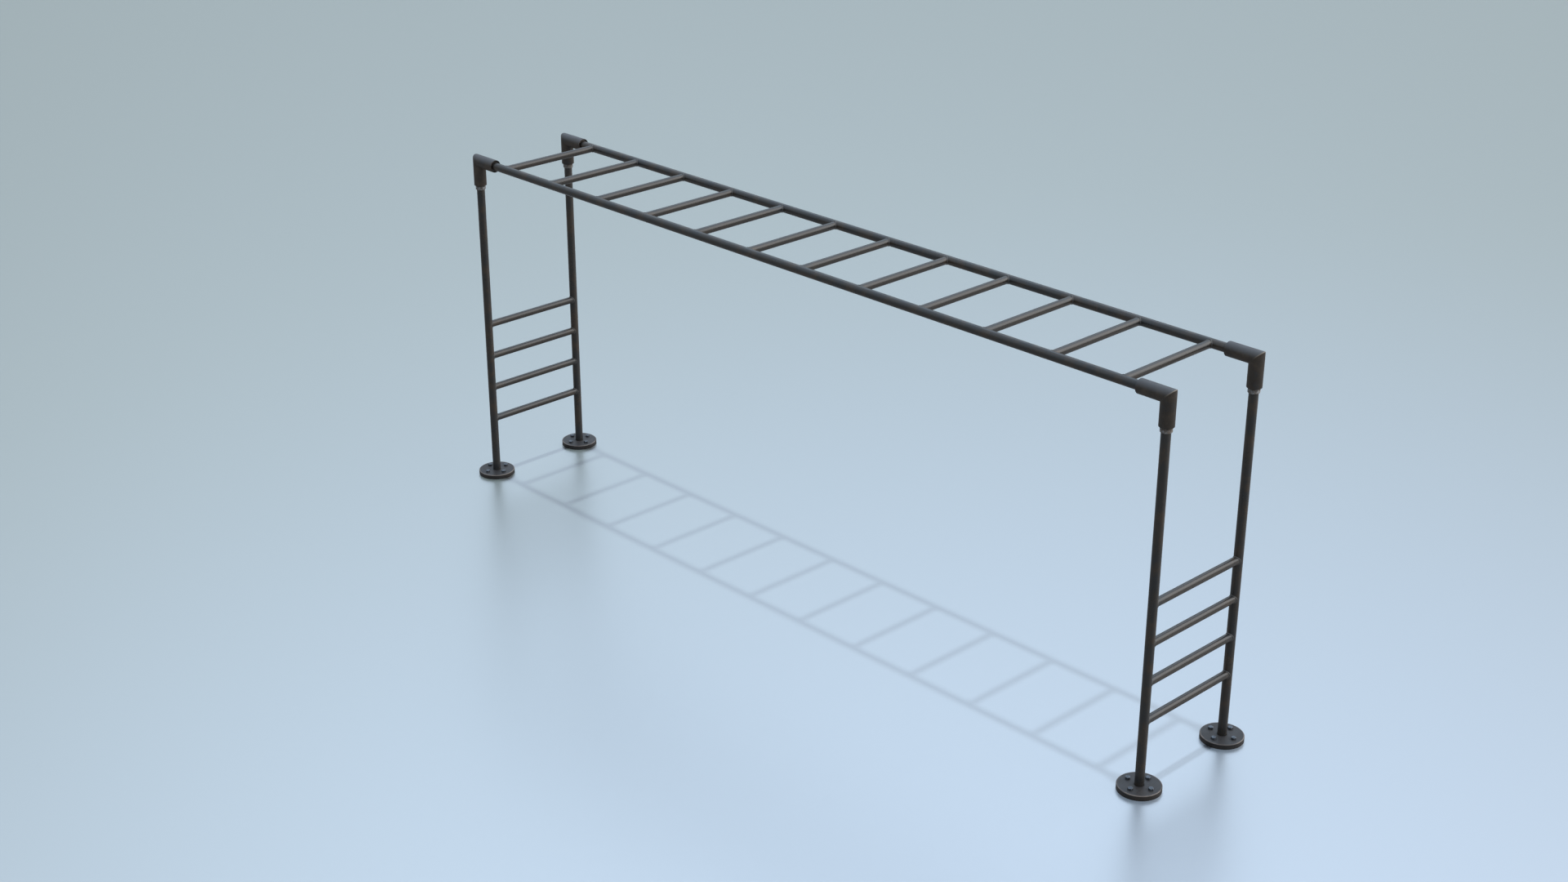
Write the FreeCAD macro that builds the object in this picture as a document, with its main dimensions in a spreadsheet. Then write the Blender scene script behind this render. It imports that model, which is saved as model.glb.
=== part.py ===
import FreeCAD, Part
import os
import Sketcher

# A free-standing set of monkey bars: two rows of posts, a rail along the top of each row,
# rungs between the rails and two end ladders, all of round steel tube.
#
# Frame: X runs along the rails, Y across them and Z up. The origin lies on the ground at
# the middle of the four feet. Lengths are in millimetres. The front row stands at -Y, the
# back row at +Y, the left end at -X and the right end at +X.

RUNGS_PER_SET = 6
LADDER_RUNGS = 4
BOLTS_PER_FOOT = 4
HALF_TURN = 180.0
FULL_TURN = 360.0
TOLERANCE = 1e-6

DIMENSIONS = {
    # tube, in two stock sizes of one wall
    "frame_tube_od": 48.3,
    "rung_tube_od": 42.4,
    "tube_wall": 3.2,
    # the whole frame, between tube axes
    "row_span": 680.0,
    "rail_height": 2078.0,
    "rung_pitch": 425.0,
    "end_gap": 263.0,
    "middle_gap": 409.0,
    # end ladders
    "ladder_first": 379.0,
    "ladder_pitch": 212.5,
    # corner elbows: a mitred casting with a socket down and a socket along the rail
    "elbow_od": 76.0,
    "elbow_drop": 150.0,
    "elbow_reach": 163.0,
    "elbow_seat": 75.0,
    "passage_od": 44.0,
    "mouth_od": 70.0,
    "mouth_depth": 9.0,
    # reducing bushes between the elbow sockets and the tubes
    "bush_od": 60.3,
    "bush_showing": 28.0,
    "bush_chamfer": 3.0,
    "fit_gap": 0.05,
    # feet
    "foot_od": 226.0,
    "foot_thick": 27.0,
    "foot_edge_radius": 4.0,
    "foot_seat": 6.0,
    "drain_od": 32.0,
    "bore_chamfer": 1.5,
    # anchor bolts, in coarse clearance holes
    "bolt_circle": 142.0,
    "bolt_hole": 18.5,
    "bolt_shank": 16.0,
    "bolt_across_flats": 24.0,
    "bolt_head_high": 11.0,
    "bolt_head_chamfer": 2.0,
    "bolt_embedded": 85.0,
    "bolt_tip_chamfer": 2.0,
    # how far an outline that cuts runs past the piece it cuts
    "cut_past": 1.0,
}

# Sizes that follow from the sheet's, as expressions for the features. The post span is the
# distance between the two posts of a row; a frame tube's socket also shapes the copes that
# sit on it; a hexagon's points lie on a circle of its own.
POST_SPAN = (
    f"(2 * Sizes.end_gap + {2 * (RUNGS_PER_SET - 1)} * Sizes.rung_pitch + Sizes.middle_gap)"
)
FRAME_TUBE_BORE = "(Sizes.frame_tube_od - 2 * Sizes.tube_wall)"
RUNG_TUBE_BORE = "(Sizes.rung_tube_od - 2 * Sizes.tube_wall)"
FRAME_TUBE_SOCKET = "(Sizes.frame_tube_od + 2 * Sizes.fit_gap)"
BUSH_SOCKET = "(Sizes.bush_od + 2 * Sizes.fit_gap)"
BOLT_POINT_RADIUS = "(Sizes.bolt_across_flats / sqrt(3))"

ROWS = (("front", -1), ("back", 1))
ENDS = (("left", -1), ("right", 1))

doc = FreeCAD.newDocument("monkey_bars")


def fill_sheet():
    """The sheet of driving sizes that every feature reads."""
    sheet = doc.addObject("Spreadsheet::Sheet", "Sizes")
    for row, (name, value) in enumerate(DIMENSIONS.items(), start=1):
        sheet.set(f"A{row}", name)
        sheet.set(f"B{row}", str(value))
        sheet.setAlias(f"B{row}", name)
    doc.recompute()


# ---------------------------------------------------------------- sketches and features


def new_body(label):
    body = doc.addObject("PartDesign::Body", label)
    body.Label = label
    return body


def new_sketch(body, name, plane, shift=None):
    """A sketch on one of the body's origin planes, with expressions for its offset."""
    sketch = body.newObject("Sketcher::SketchObject", name)
    support = next(f for f in body.Origin.OriginFeatures if f.Role == plane)
    sketch.AttachmentSupport = [(support, "")]
    sketch.MapMode = "FlatFace"
    for axis, expression in (shift or {}).items():
        sketch.setExpression(f"AttachmentOffset.Base.{axis}", expression)
    return sketch


def bind(sketch, index, name, expression):
    """Name a constraint and drive it from the sheet."""
    sketch.renameConstraint(index, name)
    sketch.setExpression(f"Constraints.{name}", expression)


def add_circle(sketch, name, diameter, centre_x="0", centre_y="0"):
    """A full circle whose diameter and centre follow the sheet."""
    start = FreeCAD.Vector(1, 1, 0)
    circle = sketch.addGeometry(Part.Circle(start, FreeCAD.Vector(0, 0, 1), 1.0), False)
    size = sketch.addConstraint(Sketcher.Constraint("Diameter", circle, 2.0))
    bind(sketch, size, f"{name}_diameter", diameter)
    across = sketch.addConstraint(Sketcher.Constraint("DistanceX", -1, 1, circle, 3, 1.0))
    bind(sketch, across, f"{name}_x", centre_x)
    along = sketch.addConstraint(Sketcher.Constraint("DistanceY", -1, 1, circle, 3, 1.0))
    bind(sketch, along, f"{name}_y", centre_y)


def add_outline(sketch, corners, closed=True):
    """Straight lines through corners given as pairs of expressions, from the sketch's origin."""
    spots = [FreeCAD.Vector(number, number * number, 0) for number in range(len(corners))]
    ends = list(zip(spots, spots[1:] + spots[:1]))
    if not closed:
        ends.pop()
    for start, end in ends:
        sketch.addGeometry(Part.LineSegment(start, end), False)
    for line in range(len(ends)):
        following = (line + 1) % len(corners)
        if following < len(ends):
            sketch.addConstraint(Sketcher.Constraint("Coincident", line, 2, following, 1))
    for number, (x_place, y_place) in enumerate(corners):
        line, point = (number, 1) if number < len(ends) else (number - 1, 2)
        across = sketch.addConstraint(Sketcher.Constraint("DistanceX", -1, 1, line, point, 1.0))
        bind(sketch, across, f"corner_{number}_x", x_place)
        along = sketch.addConstraint(Sketcher.Constraint("DistanceY", -1, 1, line, point, 1.0))
        bind(sketch, along, f"corner_{number}_y", y_place)


def pad(body, sketch, length, symmetric=False, downwards=False):
    feature = body.newObject("PartDesign::Pad", f"{sketch.Name}_pad")
    feature.Profile = sketch
    feature.setExpression("Length", length)
    feature.SideType = "Symmetric" if symmetric else "One side"
    feature.Reversed = downwards
    return feature


def pocket(body, sketch, length=None, upwards=False):
    """Cut a sketch away: to a depth on one side, or through everything both ways."""
    feature = body.newObject("PartDesign::Pocket", f"{sketch.Name}_pocket")
    feature.Profile = sketch
    if length is None:
        feature.Type = "ThroughAll"
        feature.SideType = "Symmetric"
    else:
        feature.setExpression("Length", length)
        feature.Reversed = upwards
    return feature


def turn(body, kind, sketch, axis="V_Axis"):
    """A Revolution or a Groove of a sketch, all the way round one of its axes."""
    feature = body.newObject(f"PartDesign::{kind}", f"{sketch.Name}_turned")
    feature.Profile = sketch
    feature.ReferenceAxis = (sketch, [axis])
    feature.Angle = FULL_TURN
    return feature


def repeat_round_axis(body, features, count):
    """Repeat features evenly round the body's Z axis."""
    pattern = body.newObject("PartDesign::PolarPattern", f"{body.Name}_round")
    pattern.Originals = features
    z_axis = next(f for f in body.Origin.OriginFeatures if f.Role == "Z_Axis")
    pattern.Axis = (z_axis, [""])
    pattern.Angle = FULL_TURN
    pattern.Occurrences = count
    body.Tip = pattern
    return pattern


def put(body, x_place, y_place, z_place, half_turned=False):
    """Place a body by expressions of the sheet, turned half round Z if asked."""
    angle = HALF_TURN if half_turned else 0.0
    rotation = FreeCAD.Rotation(FreeCAD.Vector(0, 0, 1), angle)
    body.Placement = FreeCAD.Placement(FreeCAD.Vector(), rotation)
    body.setExpression("Placement.Base.x", x_place)
    body.setExpression("Placement.Base.y", y_place)
    body.setExpression("Placement.Base.z", z_place)
    return body


def corner_place(end, row):
    """Expressions for X and Y of one post's axis."""
    return f"{end} * {POST_SPAN} / 2", f"{row} * Sizes.row_span / 2"


# ------------------------------------------------------------------------ the pieces


def make_post(label, end, row):
    """An upright tube from its seat in the foot to its seat in the elbow."""
    body = new_body(label)
    section = new_sketch(body, f"{label}_section", "XY_Plane")
    add_circle(section, "outside", "Sizes.frame_tube_od")
    add_circle(section, "inside", FRAME_TUBE_BORE)
    pad(body, section, "Sizes.rail_height - Sizes.elbow_seat - Sizes.foot_seat")
    put(body, *corner_place(end, row), "Sizes.foot_seat")


def make_rail(label, row):
    """One length of tube along the top of a row, from elbow seat to elbow seat."""
    body = new_body(label)
    section = new_sketch(body, f"{label}_section", "YZ_Plane")
    add_circle(section, "outside", "Sizes.frame_tube_od")
    add_circle(section, "inside", FRAME_TUBE_BORE)
    pad(body, section, f"{POST_SPAN} - 2 * Sizes.elbow_seat", symmetric=True)
    put(body, "0", f"{row} * Sizes.row_span / 2", "Sizes.rail_height")


def make_rung(label, cope_plane, x_place, z_place):
    """A tube across the frame, coped at both ends to sit on the tubes it joins."""
    body = new_body(label)
    section = new_sketch(body, f"{label}_section", "XZ_Plane")
    add_circle(section, "outside", "Sizes.rung_tube_od")
    add_circle(section, "inside", RUNG_TUBE_BORE)
    pad(body, section, "Sizes.row_span", symmetric=True)
    cope = new_sketch(body, f"{label}_cope", cope_plane)
    for name, side in ROWS:
        centre = f"{side} * Sizes.row_span / 2"
        across = (centre, "0") if cope_plane == "YZ_Plane" else ("0", centre)
        add_circle(cope, name, FRAME_TUBE_SOCKET, *across)
    pocket(body, cope)
    put(body, x_place, "0", z_place)


def make_elbow(label, end, row):
    """A hollow mitred corner casting with a counterbored socket at each mouth."""
    body = new_body(label)
    path = new_sketch(body, f"{label}_path", "XZ_Plane")
    corners = [("0", "-Sizes.elbow_drop"), ("0", "0"), ("Sizes.elbow_reach", "0")]
    add_outline(path, corners, closed=False)
    for name, kind, diameter in (
        ("casting", "AdditivePipe", "Sizes.elbow_od"),
        ("passage", "SubtractivePipe", "Sizes.passage_od"),
    ):
        circle = new_sketch(body, f"{label}_{name}", "XY_Plane", {"z": "-Sizes.elbow_drop"})
        add_circle(circle, name, diameter)
        doc.recompute()
        pipe = body.newObject(f"PartDesign::{kind}", f"{label}_{name}_pipe")
        pipe.Profile = circle
        pipe.Spine = (path, [])
        pipe.Transition = "Right corner"
    cuts = (
        ("socket", BUSH_SOCKET, "- Sizes.elbow_seat"),
        ("mouth", "Sizes.mouth_od", "- (Sizes.elbow_reach - Sizes.mouth_depth)"),
    )
    for name, diameter, less in cuts:
        down = new_sketch(body, f"{label}_{name}_down", "XY_Plane", {"z": "-Sizes.elbow_drop"})
        add_circle(down, name, diameter)
        along = new_sketch(body, f"{label}_{name}_along", "YZ_Plane", {"z": "Sizes.elbow_reach"})
        add_circle(along, name, diameter)
        doc.recompute()
        depth = "Sizes.mouth_depth" if name == "mouth" else None
        pocket(body, down, depth or f"Sizes.elbow_drop {less}", upwards=True)
        pocket(body, along, depth or f"Sizes.elbow_reach {less}")
    put(body, *corner_place(end, row), "Sizes.rail_height", half_turned=end > 0)


def make_post_bush(label, end, row):
    """The bush round a post's top: inside the elbow's socket, with its end standing out."""
    body = new_body(label)
    profile = new_sketch(body, f"{label}_profile", "XZ_Plane")
    low = "-Sizes.elbow_drop - Sizes.bush_showing"
    wide = "Sizes.bush_od / 2"
    add_outline(
        profile,
        [
            (f"{FRAME_TUBE_SOCKET} / 2", low),
            (f"{wide} - Sizes.bush_chamfer", low),
            (wide, f"{low} + Sizes.bush_chamfer"),
            (wide, "-Sizes.elbow_seat"),
            (f"{FRAME_TUBE_SOCKET} / 2", "-Sizes.elbow_seat"),
        ],
    )
    turn(body, "Revolution", profile)
    put(body, *corner_place(end, row), "Sizes.rail_height")


def make_rail_bush(label, end, row):
    """The bush round a rail's end, its face set back in the elbow's mouth."""
    body = new_body(label)
    section = new_sketch(body, f"{label}_section", "YZ_Plane", {"z": "Sizes.elbow_seat"})
    add_circle(section, "outside", "Sizes.bush_od")
    add_circle(section, "inside", FRAME_TUBE_SOCKET)
    pad(body, section, "Sizes.elbow_reach - Sizes.mouth_depth - Sizes.elbow_seat")
    put(body, *corner_place(end, row), "Sizes.rail_height", half_turned=end > 0)


def outer_top_edge(shape):
    """The name of a plate's outer top edge: the widest round edge of its top face."""
    lowest = shape.BoundBox.ZMax - TOLERANCE
    narrowest = shape.BoundBox.XLength / 2 - TOLERANCE
    for number, edge in enumerate(shape.Edges, start=1):
        if not isinstance(edge.Curve, Part.Circle):
            continue
        if edge.Curve.Radius > narrowest and edge.BoundBox.ZMin > lowest:
            return f"Edge{number}"
    raise ValueError("the plate has no outer top edge")


def make_foot(label, end, row):
    """A thick round foot plate with a stepped bore for the post and a ring of bolt holes."""
    body = new_body(label)
    profile = new_sketch(body, f"{label}_profile", "XZ_Plane")
    add_outline(
        profile,
        [
            ("Sizes.drain_od / 2", "0"),
            ("Sizes.foot_od / 2", "0"),
            ("Sizes.foot_od / 2", "Sizes.foot_thick"),
            (f"{FRAME_TUBE_SOCKET} / 2 + Sizes.bore_chamfer", "Sizes.foot_thick"),
            (f"{FRAME_TUBE_SOCKET} / 2", "Sizes.foot_thick - Sizes.bore_chamfer"),
            (f"{FRAME_TUBE_SOCKET} / 2", "Sizes.foot_seat"),
            ("Sizes.drain_od / 2", "Sizes.foot_seat"),
        ],
    )
    plate = turn(body, "Revolution", profile)
    doc.recompute()
    rounding = body.newObject("PartDesign::Fillet", f"{label}_edge")
    rounding.Base = (plate, [outer_top_edge(plate.Shape)])
    rounding.setExpression("Radius", "Sizes.foot_edge_radius")
    doc.recompute()
    hole = new_sketch(body, f"{label}_hole", "XY_Plane")
    add_circle(hole, "hole", "Sizes.bolt_hole", "Sizes.bolt_circle / 2")
    drilled = pocket(body, hole)
    repeat_round_axis(body, [drilled], BOLTS_PER_FOOT)
    put(body, *corner_place(end, row), "0")


def make_anchor_bolts(label, end, row):
    """The hexagon-headed anchor bolts of one foot, with shanks that go down into the ground."""
    body = new_body(label)
    body.AllowCompound = True
    flats = new_sketch(
        body, f"{label}_flats", "XY_Plane", {"x": "Sizes.bolt_circle / 2", "z": "Sizes.foot_thick"}
    )
    point = BOLT_POINT_RADIUS
    flat = "Sizes.bolt_across_flats / 2"
    add_outline(
        flats,
        [
            (point, "0"),
            (f"{point} / 2", flat),
            (f"-{point} / 2", flat),
            (f"-{point}", "0"),
            (f"-{point} / 2", f"-{flat}"),
            (f"{point} / 2", f"-{flat}"),
        ],
    )
    head = pad(body, flats, "Sizes.bolt_head_high")
    corner_cut = new_sketch(
        body, f"{label}_corner_cut", "XZ_Plane", {"x": "Sizes.bolt_circle / 2"}
    )
    top = "Sizes.foot_thick + Sizes.bolt_head_high"
    add_outline(
        corner_cut,
        [
            (f"{flat} - Sizes.bolt_head_chamfer / 2", top),
            (f"{point} + Sizes.cut_past", top),
            (f"{point} + Sizes.cut_past", f"{top} - Sizes.bolt_head_chamfer"),
        ],
    )
    rounded_head = turn(body, "Groove", corner_cut)
    profile = new_sketch(body, f"{label}_shank", "XZ_Plane", {"x": "Sizes.bolt_circle / 2"})
    radius = "Sizes.bolt_shank / 2"
    add_outline(
        profile,
        [
            ("0", "-Sizes.bolt_embedded"),
            (f"{radius} - Sizes.bolt_tip_chamfer", "-Sizes.bolt_embedded"),
            (radius, "-Sizes.bolt_embedded + Sizes.bolt_tip_chamfer"),
            (radius, "Sizes.foot_thick"),
            ("0", "Sizes.foot_thick"),
        ],
    )
    shank = turn(body, "Revolution", profile)
    repeat_round_axis(body, [head, rounded_head, shank], BOLTS_PER_FOOT)
    put(body, *corner_place(end, row), "0")


# --------------------------------------------------------------------- the assembly


def top_rung_places():
    """X of each top rung, as expressions: two mirrored sets about the middle gap."""
    steps = [f"Sizes.middle_gap / 2 + {step} * Sizes.rung_pitch" for step in range(RUNGS_PER_SET)]
    return [f"-({step})" for step in reversed(steps)] + steps


def build():
    for end_name, end in ENDS:
        for row_name, row in ROWS:
            corner = f"{row_name}_{end_name}"
            make_post(f"post_{corner}", end, row)
            make_elbow(f"elbow_{corner}", end, row)
            make_post_bush(f"post_bush_{corner}", end, row)
            make_rail_bush(f"rail_bush_{corner}", end, row)
            make_foot(f"foot_plate_{corner}", end, row)
            make_anchor_bolts(f"anchor_bolts_{corner}", end, row)
        for step in range(LADDER_RUNGS):
            height = f"Sizes.ladder_first + {step} * Sizes.ladder_pitch"
            place = f"{end} * {POST_SPAN} / 2"
            make_rung(f"ladder_rung_{end_name}_{step + 1}", "XY_Plane", place, height)
    for row_name, row in ROWS:
        make_rail(f"rail_{row_name}", row)
    for number, place in enumerate(top_rung_places(), start=1):
        make_rung(f"top_rung_{number:02d}", "YZ_Plane", place, "Sizes.rail_height")
    doc.recompute()


def check():
    """Stop if any object failed, or any body is not a set of valid solids."""
    for thing in doc.Objects:
        if {"Invalid", "Error"} & set(thing.State):
            raise ValueError(f"{thing.Name} failed: {thing.State}")
    for body in bodies():
        shape = body.Shape
        if shape.isNull() or not shape.isValid() or not shape.Solids:
            raise ValueError(f"{body.Label} has no valid solid")
        wanted = BOLTS_PER_FOOT if body.Label.startswith("anchor_bolts") else 1
        if len(shape.Solids) != wanted:
            raise ValueError(f"{body.Label} has {len(shape.Solids)} solids, not {wanted}")


def bodies():
    return [thing for thing in doc.Objects if thing.TypeId == "PartDesign::Body"]


def write():
    os.makedirs("parts", exist_ok=True)
    for body in bodies():
        body.Shape.exportStep(f"parts/{body.Label}.step")


fill_sheet()
build()
check()
write()
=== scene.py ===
import math

import bpy
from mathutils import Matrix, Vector


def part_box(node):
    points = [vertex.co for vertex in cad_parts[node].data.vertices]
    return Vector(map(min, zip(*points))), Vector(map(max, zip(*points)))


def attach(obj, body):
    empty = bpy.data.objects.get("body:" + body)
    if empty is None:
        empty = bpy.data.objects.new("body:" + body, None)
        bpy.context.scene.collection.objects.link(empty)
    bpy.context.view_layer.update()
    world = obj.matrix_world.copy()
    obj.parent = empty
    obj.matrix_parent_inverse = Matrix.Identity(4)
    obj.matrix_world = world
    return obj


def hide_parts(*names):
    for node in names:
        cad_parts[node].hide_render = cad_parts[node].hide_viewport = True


# The looks of a free-standing set of monkey bars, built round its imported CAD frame.
# Lengths are in metres, X runs along the rails, Y across them and Z up.

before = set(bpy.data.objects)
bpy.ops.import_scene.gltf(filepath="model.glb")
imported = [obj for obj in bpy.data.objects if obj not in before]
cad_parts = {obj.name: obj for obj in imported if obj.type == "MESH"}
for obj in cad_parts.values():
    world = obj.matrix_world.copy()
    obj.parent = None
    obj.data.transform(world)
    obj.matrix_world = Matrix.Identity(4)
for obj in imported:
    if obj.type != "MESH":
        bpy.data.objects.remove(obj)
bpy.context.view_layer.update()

ROWS = (("front", -1), ("back", 1))
ENDS = (("left", -1), ("right", 1))
CORNERS = [(f"{row}_{end}", row_side, end_side) for row, row_side in ROWS for end, end_side in ENDS]
TURN = 2 * math.pi
MM = 0.001


# ------------------------------------------------------------- sizes read from the frame


def middle(node):
    low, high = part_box(node)
    return (low + high) / 2


def half_size(node):
    low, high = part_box(node)
    return (high - low) / 2


RAIL_HEIGHT = middle("rail_back").z
ROW_OFFSET = middle("rail_back").y
POST_OFFSET = middle("post_back_right").x
FRAME_TUBE = half_size("rail_back").z
RUNG_TUBE = half_size("top_rung_01").z
FOOT_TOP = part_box("foot_plate_back_right")[1].z
FOOT_RADIUS = half_size("foot_plate_back_right").x

ELBOW_LOW, ELBOW_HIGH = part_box("elbow_back_right")
ELBOW_RADIUS = ELBOW_HIGH.x - POST_OFFSET
ELBOW_DROP = RAIL_HEIGHT - ELBOW_LOW.z
ELBOW_REACH = POST_OFFSET - ELBOW_LOW.x

BUSH_LOW, BUSH_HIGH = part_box("post_bush_back_right")
BUSH_RADIUS = (BUSH_HIGH.x - BUSH_LOW.x) / 2
BUSH_SEAT = RAIL_HEIGHT - BUSH_HIGH.z
BUSH_END = RAIL_HEIGHT - BUSH_LOW.z
MOUTH_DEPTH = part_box("rail_bush_back_right")[0].x - ELBOW_LOW.x


# ------------------------------------------------------------------------ shader nodes

# The mix node's colour sockets by number, because its sockets for other kinds of data have the same names.
MIX_SHARE, MIX_FIRST, MIX_SECOND, MIX_RESULT = 0, 6, 7, 2
X, Y, Z = 0, 1, 2
BEVEL_SAMPLES = 4
OCCLUSION_SAMPLES = 6


def fill(tree, node, inputs):
    """Gives a node's inputs plain values or other nodes' outputs."""
    for name, value in inputs.items():
        if isinstance(value, bpy.types.NodeSocket):
            tree.links.new(value, node.inputs[name])
        else:
            node.inputs[name].default_value = value


def add(tree, kind, inputs=None, output=0, **settings):
    """Adds one node with its settings and inputs, and returns one of its outputs."""
    node = tree.nodes.new(f"ShaderNode{kind}")
    for name, value in settings.items():
        setattr(node, name, value)
    fill(tree, node, inputs or {})
    return node.outputs[output]


def colour(red, green, blue):
    return (red, green, blue, 1.0)


def mix(tree, share, first, second, blend="MIX"):
    inputs = {MIX_SHARE: share, MIX_FIRST: first, MIX_SECOND: second}
    return add(tree, "Mix", inputs, MIX_RESULT, data_type="RGBA", blend_type=blend)


def mix_shaders(tree, share, first, second):
    return add(tree, "MixShader", {0: share, 1: first, 2: second})


def fade(tree, value, low, high, start=0.0, end=1.0):
    """Goes smoothly from start to end as the value goes from low to high."""
    inputs = {"Value": value, "From Min": low, "From Max": high, "To Min": start, "To Max": end}
    return add(tree, "MapRange", inputs, interpolation_type="SMOOTHSTEP")


def calculate(tree, operation, first, second=0.0):
    return add(tree, "Math", {0: first, 1: second}, operation=operation)


def times(tree, first, second):
    return calculate(tree, "MULTIPLY", first, second)


def minus(tree, first, second):
    return calculate(tree, "SUBTRACT", first, second)


def unsigned(tree, value):
    return calculate(tree, "ABSOLUTE", value)


def length(tree, vector):
    return add(tree, "VectorMath", {0: vector}, "Value", operation="LENGTH")


def likeness(tree, first, second):
    """One where two unit vectors agree, nought where they stand square to each other."""
    return add(tree, "VectorMath", {0: first, 1: second}, "Value", operation="DOT_PRODUCT")


def axes(tree, vector):
    """The three parts of a vector."""
    return add(tree, "SeparateXYZ", {0: vector}).node.outputs


def noise(tree, place, scale, detail=4.0, roughness=0.55):
    inputs = {"Vector": place, "Scale": scale, "Detail": detail, "Roughness": roughness}
    return add(tree, "TexNoise", inputs)


def stretch(tree, place, scales):
    return add(tree, "Mapping", {"Vector": place, "Scale": scales})


def row_place(tree):
    """The place in the row frame, because every piece's object sits at the origin."""
    return add(tree, "TexCoord", output="Object")


def surface_normal(tree):
    return add(tree, "NewGeometry", output="Normal")


def edge_mask(tree, radius):
    """One where an edge is within the radius, nought on open surface."""
    rounded_normal = add(tree, "Bevel", {"Radius": radius}, samples=BEVEL_SAMPLES)
    bent = minus(tree, 1.0, likeness(tree, rounded_normal, surface_normal(tree)))
    return fade(tree, bent, low=0.005, high=0.12)


def corner_shade_mask(tree, reach):
    """Painted shade from ambient occlusion: a quarter deep in a corner between two surfaces, one on open
    surface.
    """
    openness = add(tree, "AmbientOcclusion", {"Distance": reach}, "AO", samples=OCCLUSION_SAMPLES)
    return fade(tree, openness, low=0.35, high=0.85, start=0.25, end=1.0)


def bump(tree, height, distance, normal=None):
    inputs = {"Height": height, "Distance": distance, "Strength": 1.0}
    if normal is not None:
        inputs["Normal"] = normal
    return add(tree, "Bump", inputs)


def new_material(name):
    material = bpy.data.materials.new(name)
    material.use_nodes = True
    return material, material.node_tree


def finish_surface(tree, base, roughness, normal=None, **others):
    """Fills the material's main shader."""
    inputs = {"Base Color": base, "Roughness": roughness, **others}
    if normal is not None:
        inputs["Normal"] = normal
    fill(tree, tree.nodes["Principled BSDF"], inputs)


# --------------------------------------------------------------------------- materials

BLACK = colour(0.0, 0.0, 0.0)
WHITE = colour(1.0, 1.0, 1.0)
# Near-black painted shade for the corners between pieces.
PAINTED_CORNER_SHADE = colour(0.006, 0.006, 0.006)
# Pale dust together with painted light from above, for faces that look up.
DUST_AND_TOP_LIGHT = colour(0.064, 0.063, 0.066)
TARNISH_BLUE = colour(0.013, 0.018, 0.024)
TARNISH_BROWN = colour(0.044, 0.029, 0.018)

GRAPHITE_DARK = colour(0.017, 0.016, 0.015)
GRAPHITE_PALE = colour(0.025, 0.0235, 0.022)
TUBE_BROWN = colour(0.036, 0.026, 0.018)
TUBE_SPECKLE = colour(0.04, 0.038, 0.036)
RUBBED_BY_HANDS = colour(0.024, 0.019, 0.015)

FOOT_FACE = colour(0.017, 0.0148, 0.0145)
# Lighter colour for worn edges and for a painted highlight round the rim of a foot.
FOOT_WEAR_AND_HIGHLIGHT = colour(0.15, 0.12, 0.10)
ELBOW_FACE = colour(0.028, 0.0195, 0.0125)
# Lighter colour for worn edges and for a painted highlight along the crease of an elbow.
ELBOW_WEAR_AND_HIGHLIGHT = colour(0.17, 0.14, 0.11)
CASTING_SHADE = colour(0.62, 0.62, 0.66)

THREAD_BROWN = colour(0.13, 0.105, 0.085)
THREAD_GREY = colour(0.25, 0.25, 0.25)
THREAD_GRAIN = colour(0.06, 0.05, 0.045)
ZINC_DARK = colour(0.06, 0.066, 0.075)
ZINC_PALE = colour(0.13, 0.145, 0.165)
ZINC_EDGE = colour(0.30, 0.32, 0.35)
# Weld colours, lighter than the tube coating as a painted highlight along each joint.
WELD_HIGHLIT_GREY = colour(0.060, 0.057, 0.054)
WELD_HIGHLIT_BROWN = colour(0.085, 0.076, 0.068)

# How far from a corner the painted shade reaches.
CORNER_SHADE_REACH = 22 * MM
STREAK_STRENGTH = 0.75
HAND_POLISH = 0.05
EDGE_POLISH = 0.14
PLAIN_EDGE_WEAR = 0.3


def tarnished(tree, place, base, strength):
    """Drifts of blue-grey and of brown over a dark coating."""
    drift = noise(tree, place, scale=11.0, detail=4.0, roughness=0.6)
    blue = fade(tree, drift, low=0.34, high=0.46, start=0.45 * strength, end=0.0)
    base = mix(tree, blue, base, TARNISH_BLUE)
    brown = fade(tree, drift, low=0.47, high=0.64, start=0.0, end=0.8 * strength)
    return mix(tree, brown, base, TARNISH_BROWN)


def dusted_and_top_lit(tree, base, amount):
    """A film of pale dust together with painted light from above, both thickest on the faces that look up.
    """
    upward = axes(tree, surface_normal(tree))[Z]
    return mix(tree, fade(tree, upward, low=0.1, high=1.0, start=0.0, end=amount), base, DUST_AND_TOP_LIGHT)


def with_painted_corner_shade(tree, base):
    """Painted shade: darker where two pieces meet."""
    return mix(tree, corner_shade_mask(tree, CORNER_SHADE_REACH), PAINTED_CORNER_SHADE, base)


def hand_wear(tree, place, patches):
    """One along the middle of a rung, nought at its ends."""
    across = axes(tree, place)[Y]
    low, high = 0.45 * ROW_OFFSET, 0.92 * ROW_OFFSET
    marked = fade(tree, unsigned(tree, across), low, high, start=1.0, end=0.0)
    return times(tree, marked, fade(tree, patches, low=0.25, high=0.6, start=0.55, end=1.0))


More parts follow.
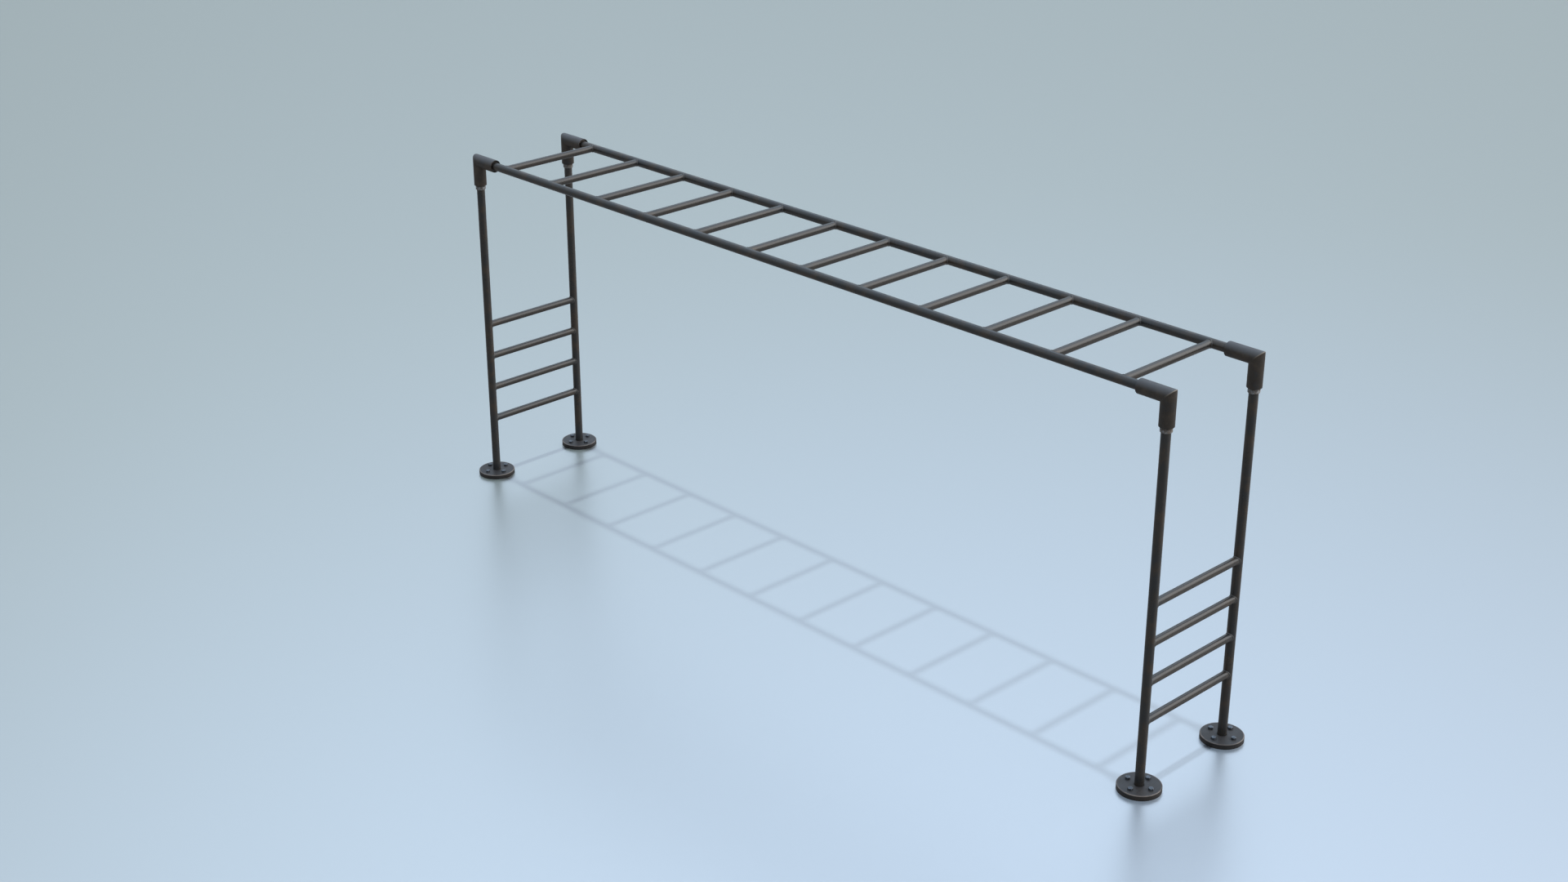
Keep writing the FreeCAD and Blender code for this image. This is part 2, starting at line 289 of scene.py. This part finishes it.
def coated_tube(name, along, polished=False):
    """Satin graphite coating on drawn tube, with faint brown wear that runs along the tube."""
    material, tree = new_material(name)
    place = row_place(tree)
    drawn_out = [1.0 if axis == along else 14.0 for axis in "XYZ"]
    streaks = noise(tree, stretch(tree, place, drawn_out), scale=6.0, detail=5.0, roughness=0.6)
    patches = noise(tree, place, scale=7.0, detail=5.0, roughness=0.6)
    speckle = noise(tree, place, scale=420.0, detail=3.0, roughness=0.7)

    graphite = mix(tree, patches, GRAPHITE_DARK, GRAPHITE_PALE)
    tint = times(tree, fade(tree, streaks, low=0.46, high=0.68), STREAK_STRENGTH)
    base = tarnished(tree, place, mix(tree, tint, graphite, TUBE_BROWN), strength=0.9)
    base = mix(tree, fade(tree, speckle, low=0.55, high=0.75, start=0.0, end=0.5), base, TUBE_SPECKLE)
    # Painted shade darkens the coating where it meets other pieces.
    base = with_painted_corner_shade(tree, base)

    roughness = fade(tree, patches, low=0.3, high=0.7, start=0.26, end=0.36)
    roughness = minus(tree, roughness, fade(tree, streaks, low=0.5, high=0.75, start=0.0, end=0.06))
    if polished:
        marked = hand_wear(tree, place, patches)
        base = mix(tree, marked, base, RUBBED_BY_HANDS)
        roughness = minus(tree, roughness, times(tree, marked, HAND_POLISH))

    waves = bump(tree, noise(tree, place, scale=55.0, detail=2.0), distance=0.25 * MM)
    fine = noise(tree, place, scale=900.0, detail=2.0)
    orange_peel = bump(tree, fine, distance=0.05 * MM, normal=waves)
    finish_surface(tree, base, roughness, orange_peel)
    return material


def crease_highlight(tree, place):
    """Painted highlight: one along an elbow's outer crease, which lies where the inward and downward
    offsets are equal, fading out away from the outer end.
    """
    spot = axes(tree, place)
    inward = minus(tree, POST_OFFSET, unsigned(tree, spot[X]))
    downward = minus(tree, RAIL_HEIGHT, spot[Z])
    off_crease = unsigned(tree, minus(tree, inward, downward))
    beyond = calculate(tree, "ADD", inward, downward)
    low, high = -2 * ELBOW_RADIUS, 0.3 * ELBOW_RADIUS
    outer_end = fade(tree, beyond, low, high, start=1.0, end=0.0)
    near = fade(tree, off_crease, low=1 * MM, high=6 * MM, start=1.0, end=0.0)
    return times(tree, near, outer_end)


def rim_wear_and_highlight(tree, place):
    """Wear and painted highlight: one round the upper edge of a foot, broken into longer and shorter runs.
    """
    spot = axes(tree, place)
    from_post = minus(tree, unsigned(tree, spot[X]), POST_OFFSET)
    from_row = minus(tree, unsigned(tree, spot[Y]), ROW_OFFSET)
    radius = length(tree, add(tree, "CombineXYZ", {X: from_post, Y: from_row}))
    outer = fade(tree, radius, low=FOOT_RADIUS - 8 * MM, high=FOOT_RADIUS - 3 * MM)
    upper = fade(tree, spot[Z], low=FOOT_TOP - 3.5 * MM, high=FOOT_TOP - 1 * MM)
    runs = fade(tree, noise(tree, place, scale=14.0), low=0.35, high=0.6, start=0.35, end=1.0)
    return times(tree, times(tree, outer, upper), runs)


def cast_iron(name, face, edge, gloss, dust_and_top_light_amount, tarnish, ridge_highlight):
    """Coated casting: sandy grain, shallow pits, lighter wear on the edges with a painted highlight along
    one ridge, pale dust with painted light from above, and painted shade in corners.
    """
    material, tree = new_material(name)
    place = row_place(tree)
    patches = noise(tree, place, scale=16.0, detail=6.0, roughness=0.65)
    grain = noise(tree, place, scale=380.0, detail=5.0, roughness=0.7)
    pits = add(tree, "TexVoronoi", {"Vector": place, "Scale": 150.0})
    pit_depth = fade(tree, pits, low=0.0, high=0.28)

    darker = mix(tree, 1.0, face, CASTING_SHADE, "MULTIPLY")
    base = mix(tree, fade(tree, patches, low=0.35, high=0.65), darker, face)
    base = tarnished(tree, place, base, tarnish)
    base = mix(tree, fade(tree, grain, low=0.5, high=0.8, start=0.0, end=0.4), base, edge)
    # Pale dust and painted light from above lighten the faces that look up.
    base = dusted_and_top_lit(tree, base, dust_and_top_light_amount)

    patchy = fade(tree, patches, low=0.3, high=0.6, start=0.35, end=1.0)
    # Worn edges and a painted highlight along one ridge take the lighter colour.
    plain_edges = times(tree, times(tree, edge_mask(tree, 3 * MM), patchy), PLAIN_EDGE_WEAR)
    marked = calculate(tree, "MAXIMUM", plain_edges, ridge_highlight(tree, place))
    # Painted shade darkens the casting where it meets other pieces.
    base = with_painted_corner_shade(tree, mix(tree, marked, base, edge))

    roughness = fade(tree, patches, low=0.3, high=0.7, start=0.42, end=0.56)
    roughness = minus(tree, roughness, times(tree, marked, EDGE_POLISH))
    rough_skin = bump(tree, grain, distance=0.22 * MM)
    pitted = bump(tree, pit_depth, distance=0.12 * MM, normal=rough_skin)
    finish_surface(tree, base, roughness, pitted, **{"Specular IOR Level": gloss})
    return material


def threaded_steel():
    """Dull bare steel with grey and brown stains."""
    material, tree = new_material("bare_threaded_steel")
    place = row_place(tree)
    stains = noise(tree, place, scale=70.0, detail=5.0, roughness=0.7)
    grain = noise(tree, place, scale=900.0, detail=3.0, roughness=0.6)
    base = mix(tree, fade(tree, stains, low=0.42, high=0.62), THREAD_BROWN, THREAD_GREY)
    base = mix(tree, fade(tree, grain, low=0.4, high=0.8, start=0.0, end=0.5), base, THREAD_GRAIN)
    roughness = fade(tree, stains, low=0.35, high=0.65, start=0.62, end=0.46)
    scratched = bump(tree, grain, distance=0.06 * MM)
    finish_surface(tree, base, roughness, scratched, Metallic=0.35)
    return material


def bolt_steel():
    """Blue-grey zinc on forged heads, scratched and lighter along the edges."""
    material, tree = new_material("zinc_bolt_steel")
    place = row_place(tree)
    cloud = noise(tree, place, scale=90.0, detail=5.0, roughness=0.65)
    one_way = stretch(tree, place, (1.0, 6.0, 1.0))
    scratches = noise(tree, one_way, scale=260.0, detail=3.0, roughness=0.7)
    base = mix(tree, fade(tree, cloud, low=0.35, high=0.65), ZINC_DARK, ZINC_PALE)
    base = mix(tree, edge_mask(tree, 1.2 * MM), base, ZINC_EDGE)
    roughness = fade(tree, scratches, low=0.3, high=0.7, start=0.30, end=0.46)
    scratched = bump(tree, scratches, distance=0.05 * MM)
    finish_surface(tree, base, roughness, scratched, Metallic=0.8)
    return material


def weld_metal():
    """Coated weld bead with brown heat colour, painted a little lighter than the tube as a highlight along
    the joint.
    """
    material, tree = new_material("coated_weld")
    place = row_place(tree)
    cloud = noise(tree, place, scale=140.0, detail=4.0, roughness=0.6)
    # The bead's lighter colour is a painted highlight.
    base = mix(tree, fade(tree, cloud, low=0.4, high=0.65), WELD_HIGHLIT_GREY, WELD_HIGHLIT_BROWN)
    roughness = fade(tree, cloud, low=0.3, high=0.7, start=0.28, end=0.40)
    skin = bump(tree, noise(tree, place, scale=800.0, detail=3.0), distance=0.08 * MM)
    finish_surface(tree, base, roughness, skin)
    return material


def set_material(thing, material):
    thing.data.materials.clear()
    thing.data.materials.append(material)


# ------------------------------------------------------------------------- mesh pieces

SHARP_ANGLE = math.radians(35)


def turned(turn):
    """Cosine and sine of a turn."""
    return math.cos(turn), math.sin(turn)


def grid_object(name, rings, material):
    """A closed skin through equally long rings: each is joined to the next, and the last to the first."""
    count = len(rings[0])
    points = [point for ring in rings for point in ring]
    faces = []
    for ring in range(len(rings)):
        following = (ring + 1) % len(rings)
        for spot in range(count):
            beside = (spot + 1) % count
            faces.append(
                (
                    ring * count + spot,
                    ring * count + beside,
                    following * count + beside,
                    following * count + spot,
                )
            )
    mesh = bpy.data.meshes.new(name)
    mesh.from_pydata(points, [], faces)
    mesh.shade_smooth()
    mesh.set_sharp_from_angle(angle=SHARP_ANGLE)
    thing = bpy.data.objects.new(name, mesh)
    bpy.context.scene.collection.objects.link(thing)
    set_material(thing, material)
    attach(thing, "root")
    return thing


# ------------------------------------------------------------------------------ elbows

CREASE_RADIUS = 3.5 * MM
RIM_RADIUS = 1.4 * MM
MOUTH_WALL = 3 * MM
PASSAGE_RADIUS = 22 * MM
CREASE_STEPS = 8
RIM_STEPS = 4
ELBOW_SIDES = 128


def rounded(start_turn, end_turn, steps):
    """Cosine and sine of evenly spaced turns, both ends included."""
    return [turned(start_turn + (end_turn - start_turn) * step / steps) for step in range(steps + 1)]


def rim(radius, distance, outwards):
    """A rounded rim at a mouth, from the leg's side to its end face or back again."""
    sign = 1 if outwards else -1
    centre_radius = radius - sign * RIM_RADIUS
    centre_distance = distance - RIM_RADIUS
    return [
        (centre_radius + sign * RIM_RADIUS * across, centre_distance + RIM_RADIUS * along)
        for across, along in rounded(0, TURN / 4, RIM_STEPS)
    ]


def leg_profile(reach):
    """Radius and distance from the corner along one leg: over the skin, round the mouth, into the bore."""
    mouth = ELBOW_RADIUS - MOUTH_WALL
    mouth_floor = reach - MOUTH_DEPTH
    profile = [(ELBOW_RADIUS, ELBOW_RADIUS + 2 * CREASE_RADIUS)]
    profile += rim(ELBOW_RADIUS, reach, outwards=True)
    profile += reversed(rim(mouth, reach, outwards=False))
    profile += [(mouth, mouth_floor), (BUSH_RADIUS, mouth_floor)]
    profile += [(BUSH_RADIUS, BUSH_SEAT), (PASSAGE_RADIUS, BUSH_SEAT)]
    return profile


def elbow_ring(turn, end_side):
    """One closed line round the elbow's wall, at one turn about its legs."""
    across, around = turned(turn)

    def place(inward, sideways, up):
        return (-end_side * inward, sideways, up)

    def down_leg(radius, distance):
        return place(radius * across, radius * around, -distance)

    def rail_leg(radius, distance):
        return place(distance, radius * around, -radius * across)

    def crease(radius):
        corner = radius * across
        return [
            place(corner + CREASE_RADIUS * (1 + along), radius * around, -corner - CREASE_RADIUS * (1 - up))
            for along, up in rounded(TURN / 2, TURN / 4, CREASE_STEPS)
        ]

    line = [down_leg(*spot) for spot in reversed(leg_profile(ELBOW_DROP))]
    line += crease(ELBOW_RADIUS)
    line += [rail_leg(*spot) for spot in leg_profile(ELBOW_REACH)]
    line += reversed(crease(PASSAGE_RADIUS))
    return line


def make_elbow(corner, row_side, end_side, material):
    """A mitred corner casting with soft creases, open at both mouths."""
    turns = [end_side * TURN * side / ELBOW_SIDES for side in range(ELBOW_SIDES)]
    shift = Vector((end_side * POST_OFFSET, row_side * ROW_OFFSET, RAIL_HEIGHT))
    rings = [[Vector(spot) + shift for spot in elbow_ring(turn, end_side)] for turn in turns]
    elbow = grid_object(f"elbow_casting_{corner}", rings, material)
    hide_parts(f"elbow_{corner}")


# --------------------------------------------------------------------- threaded bushes

THREAD_PITCH = 2.31 * MM
THREAD_DEPTH = 1.1 * MM
THREAD_ROWS_PER_PITCH = 8
BUSH_SIDES = 96
BUSH_CHAMFER = 3 * MM
BUSH_CLEARANCE = 0.05 * MM


def thread_radius(distance, turn):
    """Radius of the threaded skin at a distance above the bush's end."""
    phase = (distance / THREAD_PITCH - turn / TURN) % 1.0
    groove = abs(2 * phase - 1)
    crest = BUSH_RADIUS - THREAD_DEPTH * groove
    taper = BUSH_RADIUS - BUSH_CHAMFER + distance
    return min(crest, taper)


def bush_profile(turn):
    """Radius and height above the bush's end: up the thread, then over the plain end in the socket."""
    bore = FRAME_TUBE + BUSH_CLEARANCE
    height = BUSH_END - BUSH_SEAT
    threaded = BUSH_END - ELBOW_DROP + MOUTH_DEPTH
    count = round(threaded / THREAD_PITCH * THREAD_ROWS_PER_PITCH)
    distances = [threaded * step / count for step in range(count + 1)]
    thread = [(thread_radius(distance, turn), distance) for distance in distances]
    return [(bore, 0.0)] + thread + [(BUSH_RADIUS - THREAD_DEPTH, height), (bore, height)]


def make_post_bush(corner, row_side, end_side, material):
    """The bush round a post's top, with the turns of its thread on the part that shows."""
    centre = Vector((end_side * POST_OFFSET, row_side * ROW_OFFSET, RAIL_HEIGHT - BUSH_END))
    rings = []
    for side in range(BUSH_SIDES):
        turn = -TURN * side / BUSH_SIDES
        across, along = turned(turn)
        rings.append(
            [
                (centre.x + radius * across, centre.y + radius * along, centre.z + height)
                for radius, height in bush_profile(turn)
            ]
        )
    bush = grid_object(f"threaded_bush_{corner}", rings, material)
    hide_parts(f"post_bush_{corner}")


# ------------------------------------------------------------------------------- welds

BEAD_RADIUS = 3.0 * MM
BEAD_RIPPLE = 0.35 * MM
BEAD_RIPPLES = 34
BEAD_SPOTS = 170
BEAD_SIDES = 10
BEAD_WANDER = ((0.25, 0.37), (0.15, 1.13))


def seam(place, row_side, on_post):
    """The closed line where a rung's skin meets the skin of the tube that it is welded to."""
    line = []
    for spot in range(BEAD_SPOTS):
        level, rise = turned(TURN * spot / BEAD_SPOTS)
        across, up = RUNG_TUBE * level, RUNG_TUBE * rise
        off_axis = across if on_post else up
        depth = math.sqrt(FRAME_TUBE**2 - off_axis**2)
        line.append(Vector((place.x + across, row_side * (ROW_OFFSET - depth), place.z + up)))
    return line


def bead_radius(share):
    """The bead's radius at a share of the way round: a row of ripples on two slower, smaller waves."""
    phase = share * BEAD_RIPPLES
    wander = sum(size * math.sin(rate * phase) for size, rate in BEAD_WANDER)
    return BEAD_RADIUS + BEAD_RIPPLE * (abs(math.sin(math.pi * phase)) + wander)


def bead_rings(line, centre):
    """Rings of a rippled bead that follows a closed line round a centre."""
    rings = []
    for spot, point in enumerate(line):
        ahead = (line[(spot + 1) % len(line)] - line[spot - 1]).normalized()
        outwards = point - centre
        outwards = (outwards - ahead * outwards.dot(ahead)).normalized()
        sideways = ahead.cross(outwards)
        radius = bead_radius(spot / len(line))
        sides = [turned(TURN * side / BEAD_SIDES) for side in range(BEAD_SIDES)]
        rings.append([point + radius * (out * outwards + over * sideways) for out, over in sides])
    return rings


def make_welds(node, material):
    """A bead round each end of one rung."""
    place = middle(node)
    on_post = node.startswith("ladder")
    for row, row_side in ROWS:
        line = seam(place, row_side, on_post)
        centre = Vector((place.x, row_side * (ROW_OFFSET - FRAME_TUBE), place.z))
        grid_object(f"weld_{node}_{row}", bead_rings(line, centre), material)


# ------------------------------------------------------------------- floor, light, view

VIEW_AZIMUTH = math.radians(46.21)
VIEW_ELEVATION = math.radians(23.59)
VIEW_DISTANCE = 11.948
VIEW_LENS = 50.05
VIEW_AIM = Vector((0.047, -0.303, RAIL_HEIGHT / 2 + 0.002))
VIEW_REACH = 1000.0

FLOOR_HALF = 220.0
# Floor colours inside and past a painted pool of light; the far one is also a little greener.
FLOOR_IN_LIGHT_POOL = colour(0.0388, 0.0508, 0.068)
FLOOR_PAST_LIGHT_POOL = colour(0.0275, 0.0355, 0.029)
FLOOR_IN_METAL = colour(0.046, 0.047, 0.048)
FLOOR_SHEEN = 0.42
LIGHT_POOL_CENTRE = (2.5, -6.0)
LIGHT_POOL_REACH = (12.0, 16.0)
HAZE_START, HAZE_END = 15.0, 90.0

BACKDROP = colour(0.40, 0.48, 0.53)
SKY_LOW = colour(0.325, 0.35, 0.355)
SKY_HIGH = colour(0.92, 1.10, 1.32)
WARM_LIGHT = colour(2.4, 2.33, 2.25)
COOL_LIGHT = colour(0.50, 0.66, 0.86)
WARM_TOWARDS = Vector((1.0, 1.0, 0.35)).normalized()
COOL_TOWARDS = Vector((-1.0, 1.0, 0.9)).normalized()
OVERHEAD_STRENGTH = 14.0
OVERHEAD_ANGLE = math.radians(1.5)


def is_camera_ray(tree):
    return add(tree, "LightPath", output="Is Camera Ray")


def light_pool(tree, place, centre, reach):
    """Painted pool of light: one at a centre on the floor, falling to nought at its reach along each axis.
    """
    scales = [1 / size for size in reach] + [0.0]
    shift = [-spot * scale for spot, scale in zip(centre, scales)] + [0.0]
    moved = add(tree, "Mapping", {"Vector": place, "Location": shift, "Scale": scales})
    return add(tree, "TexGradient", {"Vector": moved}, "Fac", gradient_type="SPHERICAL")


def satin_floor(tree):
    """What the camera sees: pale satin with a painted pool of light towards the camera, a little greener
    and darker far off, that fades into the backdrop.
    """
    place = row_place(tree)
    facing_view = add(tree, "Mapping", {"Vector": place, "Rotation": (0.0, 0.0, -VIEW_AZIMUTH)})
    # A painted pool of light, brightest towards the camera.
    near = light_pool(tree, facing_view, LIGHT_POOL_CENTRE, LIGHT_POOL_REACH)
    pale = mix(tree, fade(tree, near, low=0.1, high=0.95), FLOOR_PAST_LIGHT_POOL, FLOOR_IN_LIGHT_POOL)
    roughness = fade(tree, noise(tree, place, scale=30.0, detail=3.0), 0.2, 0.8, start=0.32, end=0.35)
    dull = add(tree, "BsdfDiffuse", {"Color": pale})
    sheen = add(tree, "BsdfAnisotropic", {"Color": WHITE, "Roughness": roughness})
    satin = mix_shaders(tree, FLOOR_SHEEN, dull, sheen)
    haze = fade(tree, length(tree, place), HAZE_START, HAZE_END)
    return mix_shaders(tree, haze, satin, add(tree, "Emission", {"Color": BACKDROP}))


def floor_material():
    """A pale floor to the camera, and a darker one to the metal that reflects it."""
    material, tree = new_material("studio_floor")
    finish_surface(tree, FLOOR_IN_METAL, roughness=0.25, IOR=1.5)
    dim = tree.nodes["Principled BSDF"].outputs[0]
    seen = mix_shaders(tree, is_camera_ray(tree), dim, satin_floor(tree))
    fill(tree, tree.nodes["Material Output"], {"Surface": seen})
    return material


def make_floor():
    corners = [(-1, -1), (1, -1), (1, 1), (-1, 1)]
    mesh = bpy.data.meshes.new("floor")
    mesh.from_pydata([(FLOOR_HALF * x, FLOOR_HALF * y, 0.0) for x, y in corners], [], [(0, 1, 2, 3)])
    floor = bpy.data.objects.new("floor", mesh)
    bpy.context.scene.collection.objects.link(floor)
    set_material(floor, floor_material())
    return floor


def make_world():
    """Soft light from all round, with a bright warm side to the camera's right and a cool side behind."""
    world = bpy.data.worlds.new("studio")
    bpy.context.scene.world = world
    world.use_nodes = True
    tree = world.node_tree
    direction = add(tree, "TexCoord", output="Generated")
    height = axes(tree, direction)[Z]
    sky = mix(tree, fade(tree, height, low=0.0, high=0.9), SKY_LOW, SKY_HIGH)

    to_warm = fade(tree, likeness(tree, direction, WARM_TOWARDS), low=0.42, high=0.95)
    above_horizon = fade(tree, height, low=0.02, high=0.32)
    warm = mix(tree, times(tree, to_warm, above_horizon), BLACK, WARM_LIGHT)

    to_cool = fade(tree, likeness(tree, direction, COOL_TOWARDS), low=0.85, high=1.0)
    well_above = fade(tree, height, low=0.1, high=0.65)
    cool = mix(tree, times(tree, to_cool, well_above), BLACK, COOL_LIGHT)

    light = mix(tree, 1.0, mix(tree, 1.0, sky, warm, "ADD"), cool, "ADD")
    seen = mix(tree, is_camera_ray(tree), light, BACKDROP)
    fill(tree, tree.nodes["Background"], {"Color": seen})


def make_shadow_light(floor):
    """A small light straight overhead that only the floor receives, to print the rungs on it."""
    data = bpy.data.lights.new("overhead", "SUN")
    data.energy = OVERHEAD_STRENGTH
    data.angle = OVERHEAD_ANGLE
    light = bpy.data.objects.new("overhead", data)
    light.visible_glossy = False
    receivers = bpy.data.collections.new("lit_from_above")
    receivers.objects.link(floor)
    light.light_linking.receiver_collection = receivers
    bpy.context.scene.collection.objects.link(light)


def make_camera():
    """A camera on a sphere round the aim, looking at it."""
    data = bpy.data.cameras.new("view")
    data.lens = VIEW_LENS
    data.clip_end = VIEW_REACH
    camera = bpy.data.objects.new("view", data)
    bpy.context.scene.collection.objects.link(camera)
    level, rise = turned(VIEW_ELEVATION)
    back = Vector((math.sin(VIEW_AZIMUTH) * level, -math.cos(VIEW_AZIMUTH) * level, rise))
    camera.location = VIEW_AIM + VIEW_DISTANCE * back
    camera.rotation_euler = (-back).to_track_quat("-Z", "Y").to_euler()
    bpy.context.scene.camera = camera


# ------------------------------------------------------------------------ the assembly


# The rim of a foot carries wear and a painted highlight.
def foot_finish():
    return cast_iron(
        # The dust amount also sets the painted light from above.
        "foot_iron", FOOT_FACE, FOOT_WEAR_AND_HIGHLIGHT, gloss=0.38, dust_and_top_light_amount=0.28, tarnish=0.3, ridge_highlight=rim_wear_and_highlight
    )


# The outer crease of an elbow carries a painted highlight.
def elbow_finish():
    return cast_iron(
        # The dust amount also sets the painted light from above.
        "elbow_iron", ELBOW_FACE, ELBOW_WEAR_AND_HIGHLIGHT, gloss=0.5, dust_and_top_light_amount=0.9, tarnish=1.0, ridge_highlight=crease_highlight
    )


def make_finishes():
    """Every finish by the start of the name of the nodes that wear it."""
    foot = foot_finish()
    rung = coated_tube("coated_rung", "Y", polished=True)
    return {
        "rail_bush": foot,
        "post_bush": threaded_steel(),
        "rail": coated_tube("coated_rail", "X"),
        "post": coated_tube("coated_post", "Z"),
        "top_rung": rung,
        "ladder_rung": rung,
        "foot_plate": foot,
        "anchor_bolts": bolt_steel(),
        "elbow": elbow_finish(),
    }


def build():
    finishes = make_finishes()
    for node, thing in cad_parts.items():
        kind = next(kind for kind in finishes if node.startswith(kind))
        set_material(thing, finishes[kind])
    for corner, row_side, end_side in CORNERS:
        make_elbow(corner, row_side, end_side, finishes["elbow"])
        make_post_bush(corner, row_side, end_side, finishes["post_bush"])
    weld = weld_metal()
    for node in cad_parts:
        if "rung" in node:
            make_welds(node, weld)


build()
floor = make_floor()
make_world()
make_shadow_light(floor)
make_camera()
bpy.context.scene.view_settings.view_transform = "Standard"
